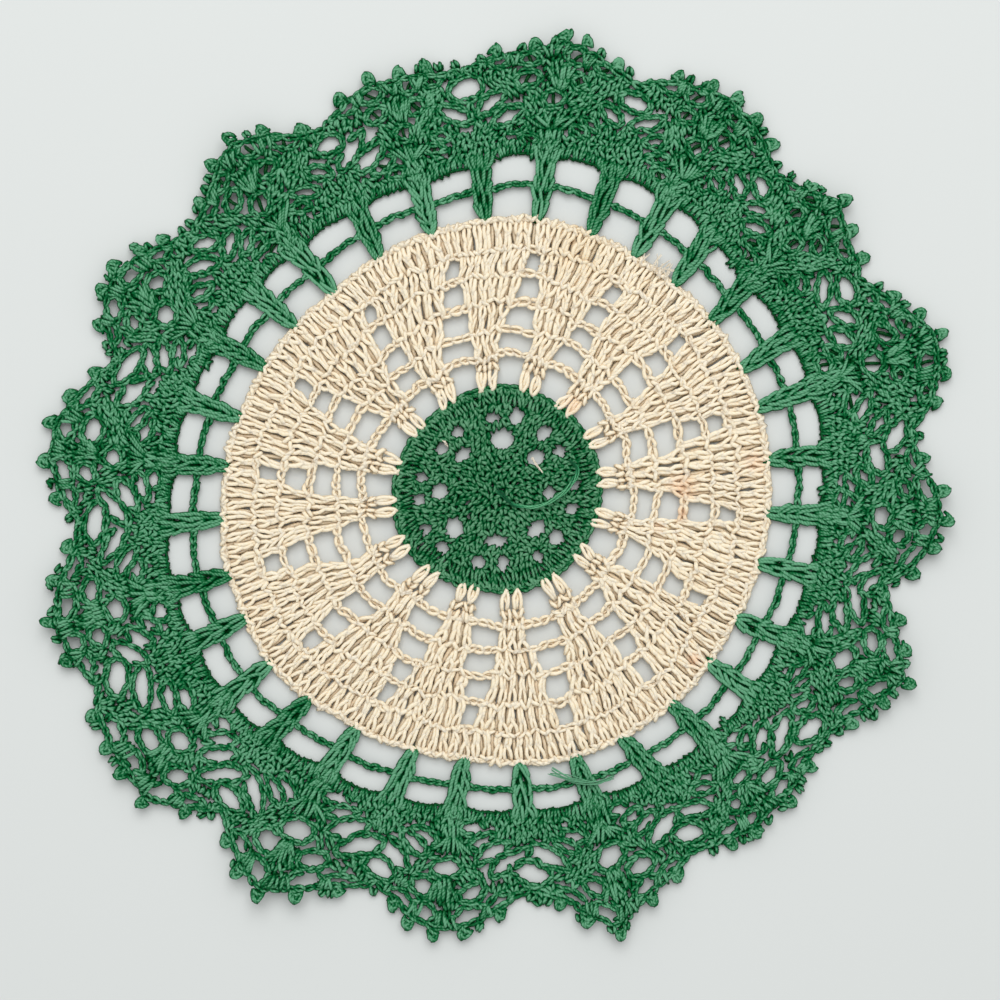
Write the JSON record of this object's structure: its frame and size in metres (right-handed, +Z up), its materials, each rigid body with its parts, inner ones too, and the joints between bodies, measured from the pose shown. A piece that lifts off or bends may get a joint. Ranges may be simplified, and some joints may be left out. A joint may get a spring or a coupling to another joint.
{
  "type": "lace doily",
  "caption": "Round crocheted lace doily: a green middle, an ecru band and a wide green lace border with fans, picots and a scalloped edge, lying flat.",
  "frame": {"origin": "middle of the doily on its underside, on the surface that it lies on", "axes": "+Z up, out of the right side of the crochet; +X to the right and +Y away from a viewer who looks down on it"},
  "size_m": [0.2374, 0.2364, 0.0064],
  "materials": {
    "green_yarn": "mercerised cotton crochet, soft sheen",
    "ecru_yarn": "cotton crochet, matt",
    "green_yarn_border": "mercerised cotton crochet, soft sheen",
    "green_yarn_end": "loose cotton yarn"
  },
  "bodies": {
    "root": {"centre": "green_yarn", "band": "ecru_yarn", "border": "green_yarn_border", "yarn_end": "green_yarn_end"}
  },
  "joints": []
}
